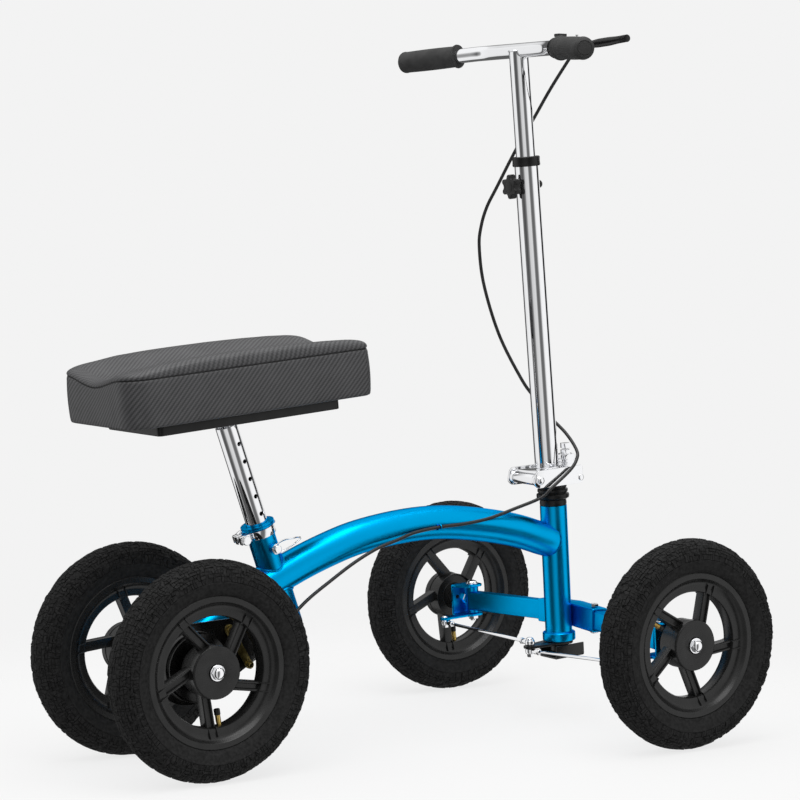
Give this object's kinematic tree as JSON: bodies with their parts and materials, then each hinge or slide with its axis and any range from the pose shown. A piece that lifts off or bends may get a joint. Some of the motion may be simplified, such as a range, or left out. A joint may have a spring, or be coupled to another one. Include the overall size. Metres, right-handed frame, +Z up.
{
  "type": "knee scooter",
  "caption": "Steerable knee scooter with a padded knee rest on an arched frame, air-filled wheels, and a folding handlebar column with a hand brake.",
  "frame": {"origin": "on the floor, midway between the axles and on the middle plane", "axes": "+X forward, +Y to the rider's left, +Z up"},
  "size_m": [0.9854, 0.6532, 1.027],
  "materials": {
    "blue_paint": "metallic gloss",
    "chrome": "polished",
    "black_steel": "satin",
    "black_plastic": "fine grain",
    "wheel_plastic": "moulded satin",
    "tyre_rubber": "matte tread",
    "grip_rubber": "soft matte",
    "pad_vinyl": "embossed weave",
    "inner_rubber": "matte",
    "brass": "satin",
    "steel": "satin",
    "cable_jacket": "satin"
  },
  "bodies": {
    "frame": {"main_frame": "blue_paint", "beam_arm_left": "blue_paint", "beam_arm_right": "blue_paint", "beam_bolt_left": "chrome", "beam_bolt_right": "chrome", "upper_bearing": "black_plastic", "lower_bearing": "steel", "rear_axle": "chrome", "seat_clamp": "chrome", "cable_rear": "cable_jacket", "brake_band": "steel", "brake_plate": "black_steel"},
    "steering": {"steerer_tube": "black_steel", "headset_nut": "black_plastic", "pitman_arm": "black_steel", "pitman_bolt": "chrome", "lower_bracket": "black_steel", "fold_base": "chrome", "fold_pin": "chrome"},
    "latch": {"fold_latch": "chrome"},
    "column": {"column_foot": "chrome", "lower_column": "chrome", "column_collar": "black_plastic", "clamp_bolt": "black_steel", "cable_column": "cable_jacket"},
    "knob": {"height_knob": "black_plastic"},
    "handlebar": {"handlebar": "chrome", "grip_left": "grip_rubber", "grip_right": "grip_rubber", "brake_perch": "black_steel", "cable_upper": "cable_jacket"},
    "lever": {"brake_lever": "black_steel"},
    "brake_arm": {"brake_arm": "brass"},
    "seat": {"seat_post": "chrome", "pad_board": "black_plastic", "knee_pad": "pad_vinyl"},
    "seat_lever": {"seat_lever": "chrome"},
    "lock_pin": {"lock_pin": "chrome"},
    "pin_ring": {"pin_ring": "chrome"},
    "knuckle_left": {"knuckle_left": "blue_paint", "kingpin_left": "chrome", "stub_axle_left": "chrome"},
    "tie_rod_left": {"tie_rod_left": "chrome"},
    "knuckle_right": {"knuckle_right": "blue_paint", "kingpin_right": "chrome", "stub_axle_right": "chrome"},
    "tie_rod_right": {"tie_rod_right": "chrome"},
    "wheel_front_left": {"tyre_front_left": "tyre_rubber", "inner_tube_front_left": "inner_rubber", "rim_front_left": "wheel_plastic"},
    "wheel_front_right": {"tyre_front_right": "tyre_rubber", "inner_tube_front_right": "inner_rubber", "rim_front_right": "wheel_plastic"},
    "wheel_rear_left": {"tyre_rear_left": "tyre_rubber", "inner_tube_rear_left": "inner_rubber", "rim_rear_left": "wheel_plastic"},
    "wheel_rear_right": {"tyre_rear_right": "tyre_rubber", "inner_tube_rear_right": "inner_rubber", "rim_rear_right": "wheel_plastic", "brake_drum": "black_steel"}
  },
  "joints": [
    {"name": "steering_turn", "type": "hinge", "parent": "frame", "child": "steering", "pos_m": [0.3244, 0, 0.3264], "axis": [-0.0602, 0, 0.9982], "range_deg": [-35, 35], "deforming": ["cable_rear"]},
    {"name": "fold_latch_swing", "type": "hinge", "parent": "steering", "child": "latch", "pos_m": [0.35032, 0, 0.37004], "axis": [0, 1, 0], "range_deg": [0, 60]},
    {"name": "column_fold", "type": "hinge", "parent": "steering", "child": "column", "pos_m": [0.27394, 0, 0.36904], "axis": [0, -1, 0], "range_deg": [0, 42], "deforming": ["cable_column"]},
    {"name": "height_knob_turn", "type": "hinge", "parent": "column", "child": "knob", "pos_m": [0.2742, 0, 0.81002], "axis": [-0.996, 0, -0.0889], "range_deg": [0, 540]},
    {"name": "handlebar_height", "type": "slide", "parent": "column", "child": "handlebar", "axis": [-0.0889, 0, 0.996], "range_m": [-0.12, 0.02], "deforming": ["cable_upper"]},
    {"name": "brake_lever_pull", "type": "hinge", "parent": "handlebar", "child": "lever", "pos_m": [0.2682, -0.126, 1.011], "axis": [0, 0, -1], "range_deg": [0, 20], "stiffness_Nm_per_rad": 1.5, "springref_deg": -8.59},
    {"name": "brake_arm_pull", "type": "hinge", "parent": "frame", "child": "brake_arm", "pos_m": [-0.279, -0.059, 0.1965], "axis": [0, -1, 0], "range_deg": [0, 10]},
    {"name": "seat_height", "type": "slide", "parent": "frame", "child": "seat", "axis": [-0.3338, 0, 0.9426], "range_m": [-0.075, 0.025]},
    {"name": "seat_lever_swing", "type": "hinge", "parent": "frame", "child": "seat_lever", "pos_m": [-0.22355, 0.016, 0.31087], "axis": [-0.3338, 0, 0.9426], "range_deg": [0, 140]},
    {"name": "lock_pin_pull", "type": "slide", "parent": "frame", "child": "lock_pin", "axis": [0, -1, 0], "range_m": [0, 0.012], "stiffness_N_per_m": 400, "springref_m": -0.004},
    {"name": "pin_ring_swing", "type": "hinge", "parent": "lock_pin", "child": "pin_ring", "pos_m": [-0.18282, -0.0255, 0.29771], "axis": [0, 1, 0], "range_deg": [-30, 15]},
    {"name": "knuckle_left_turn", "type": "hinge", "parent": "frame", "child": "knuckle_left", "pos_m": [0.3426, 0.2365, 0.1524], "axis": [-0.0602, 0, 0.9982], "range_deg": [-35, 35]},
    {"name": "tie_rod_left_turn", "type": "hinge", "parent": "steering", "child": "tie_rod_left", "pos_m": [0.269, 0, 0.32306], "axis": [-0.0602, 0, 0.9982], "range_deg": [-35, 35]},
    {"name": "knuckle_right_turn", "type": "hinge", "parent": "frame", "child": "knuckle_right", "pos_m": [0.3426, -0.2365, 0.1524], "axis": [-0.0602, 0, 0.9982], "range_deg": [-35, 35]},
    {"name": "tie_rod_right_turn", "type": "hinge", "parent": "steering", "child": "tie_rod_right", "pos_m": [0.269, 0, 0.32306], "axis": [-0.0602, 0, 0.9982], "range_deg": [-35, 35]},
    {"name": "wheel_front_left_spin", "type": "hinge", "parent": "knuckle_left", "child": "wheel_front_left", "pos_m": [0.34035, 0.2981, 0.1524], "axis": [0, 1, 0], "continuous": true},
    {"name": "wheel_front_right_spin", "type": "hinge", "parent": "knuckle_right", "child": "wheel_front_right", "pos_m": [0.34035, -0.2981, 0.1524], "axis": [0, 1, 0], "continuous": true},
    {"name": "wheel_rear_left_spin", "type": "hinge", "parent": "frame", "child": "wheel_rear_left", "pos_m": [-0.34035, 0.1148, 0.1524], "axis": [0, 1, 0], "continuous": true},
    {"name": "wheel_rear_right_spin", "type": "hinge", "parent": "frame", "child": "wheel_rear_right", "pos_m": [-0.34035, -0.1148, 0.1524], "axis": [0, 1, 0], "continuous": true}
  ],
  "couplings": [
    {"joint": "brake_arm_pull", "follows": "brake_lever_pull", "ratio": 0.5},
    {"joint": "knuckle_left_turn", "follows": "steering_turn", "ratio": 1},
    {"joint": "tie_rod_left_turn", "follows": "steering_turn", "ratio": -1},
    {"joint": "knuckle_right_turn", "follows": "steering_turn", "ratio": 1},
    {"joint": "tie_rod_right_turn", "follows": "steering_turn", "ratio": -1}
  ]
}
